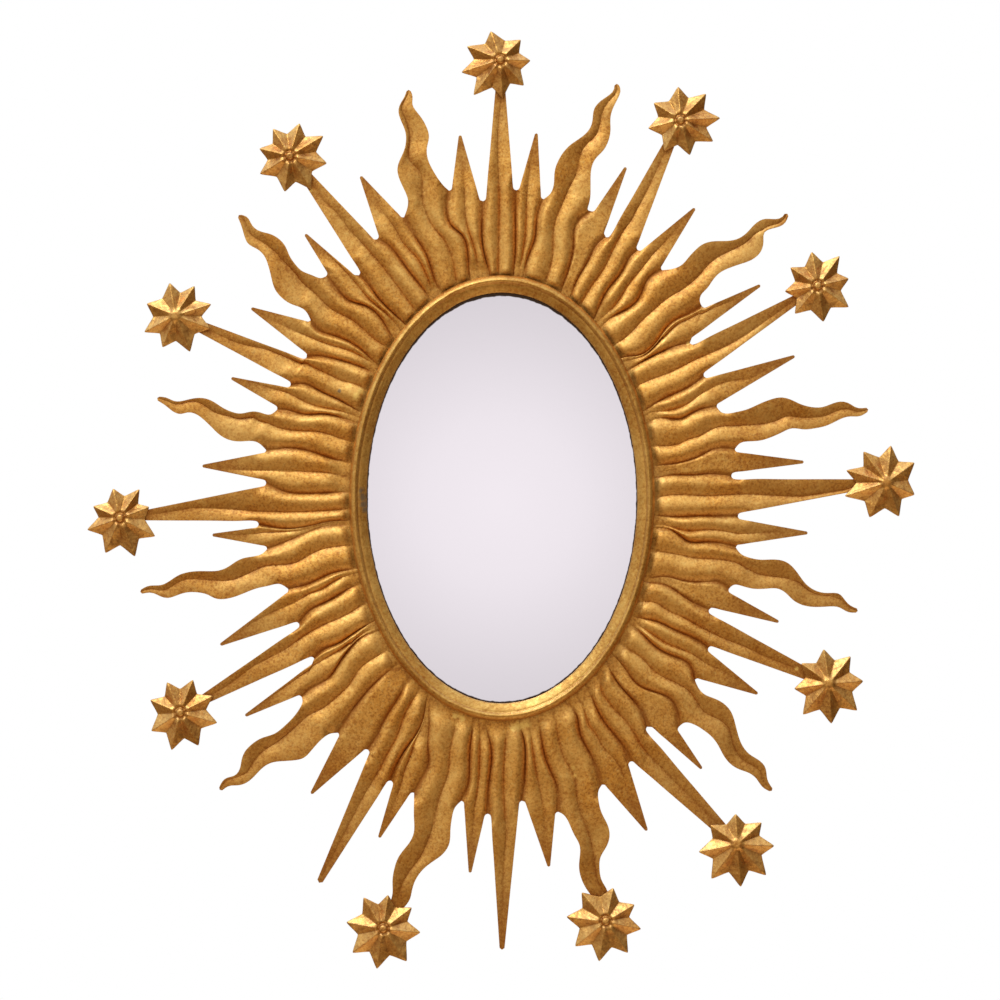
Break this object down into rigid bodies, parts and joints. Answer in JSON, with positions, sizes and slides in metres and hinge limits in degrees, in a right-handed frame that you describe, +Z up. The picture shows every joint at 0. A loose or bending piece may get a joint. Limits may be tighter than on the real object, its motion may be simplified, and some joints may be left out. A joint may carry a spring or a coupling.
{
  "type": "sunburst mirror",
  "caption": "Oval wall mirror in a ribbed sunburst of pressed gilt rays, wavy flames and small stars, with a beaded ring, a backing board and two hanging rings.",
  "frame": {"origin": "centre of the oval on the rear face of the backing board", "axes": "+Z up, +X to the viewer's right, the mirror faces -Y and the wall is toward +Y"},
  "size_m": [0.826, 0.0326, 0.9362],
  "materials": {
    "aged_gold": "aged gold leaf, satin",
    "solder": "dull solder",
    "dark_iron": "dark brown paint",
    "mirror": "silvered glass",
    "felt": "black felt",
    "board": "brown hardboard",
    "zinc_steel": "zinc plated",
    "rubber": "black rubber"
  },
  "bodies": {
    "mirror": {"ray_panel_01": "aged_gold", "ray_panel_02": "aged_gold", "ray_panel_03": "aged_gold", "ray_panel_04": "aged_gold", "ray_panel_05": "aged_gold", "ray_panel_06": "aged_gold", "ray_panel_07": "aged_gold", "ray_panel_08": "aged_gold", "ray_panel_09": "aged_gold", "ray_panel_10": "aged_gold", "ray_panel_11": "aged_gold", "ray_panel_12": "aged_gold", "star_01": "aged_gold", "star_02": "aged_gold", "star_03": "aged_gold", "star_04": "aged_gold", "star_05": "aged_gold", "star_06": "aged_gold", "star_07": "aged_gold", "star_08": "aged_gold", "star_09": "aged_gold", "star_10": "aged_gold", "star_11": "aged_gold", "star_12": "aged_gold", "bezel_ring": "aged_gold", "star_studs": "solder", "back_hoop": "dark_iron", "button_lugs": "dark_iron", "mirror_glass": "mirror", "felt_liner": "felt", "backing_board": "board", "button_pivots": "zinc_steel", "hanger_strap_left": "zinc_steel", "hanger_strap_right": "zinc_steel", "hanger_screws": "zinc_steel", "wall_bumpers": "rubber"},
    "turn_button_1": {"turn_button_1": "zinc_steel"},
    "turn_button_2": {"turn_button_2": "zinc_steel"},
    "turn_button_3": {"turn_button_3": "zinc_steel"},
    "turn_button_4": {"turn_button_4": "zinc_steel"},
    "turn_button_5": {"turn_button_5": "zinc_steel"},
    "turn_button_6": {"turn_button_6": "zinc_steel"},
    "d_ring_left": {"d_ring_left": "zinc_steel"},
    "d_ring_right": {"d_ring_right": "zinc_steel"}
  },
  "joints": [
    {"name": "turn_button_1_turn", "type": "hinge", "parent": "mirror", "child": "turn_button_1", "pos_m": [0.13485, 0.0007, 0.09166], "axis": [0, 1, 0], "continuous": true},
    {"name": "turn_button_2_turn", "type": "hinge", "parent": "mirror", "child": "turn_button_2", "pos_m": [0, 0.0007, 0.2185], "axis": [0, 1, 0], "continuous": true},
    {"name": "turn_button_3_turn", "type": "hinge", "parent": "mirror", "child": "turn_button_3", "pos_m": [-0.13485, 0.0007, 0.09166], "axis": [0, 1, 0], "continuous": true},
    {"name": "turn_button_4_turn", "type": "hinge", "parent": "mirror", "child": "turn_button_4", "pos_m": [-0.13485, 0.0007, -0.09166], "axis": [0, 1, 0], "continuous": true},
    {"name": "turn_button_5_turn", "type": "hinge", "parent": "mirror", "child": "turn_button_5", "pos_m": [0, 0.0007, -0.2185], "axis": [0, 1, 0], "continuous": true},
    {"name": "turn_button_6_turn", "type": "hinge", "parent": "mirror", "child": "turn_button_6", "pos_m": [0.13485, 0.0007, -0.09166], "axis": [0, 1, 0], "continuous": true},
    {"name": "d_ring_left_swing", "type": "hinge", "parent": "mirror", "child": "d_ring_left", "pos_m": [-0.085, 0.00254, 0.104], "axis": [1, 0, 0], "range_deg": [0, 180]},
    {"name": "d_ring_right_swing", "type": "hinge", "parent": "mirror", "child": "d_ring_right", "pos_m": [0.085, 0.00254, 0.104], "axis": [1, 0, 0], "range_deg": [0, 180]}
  ]
}
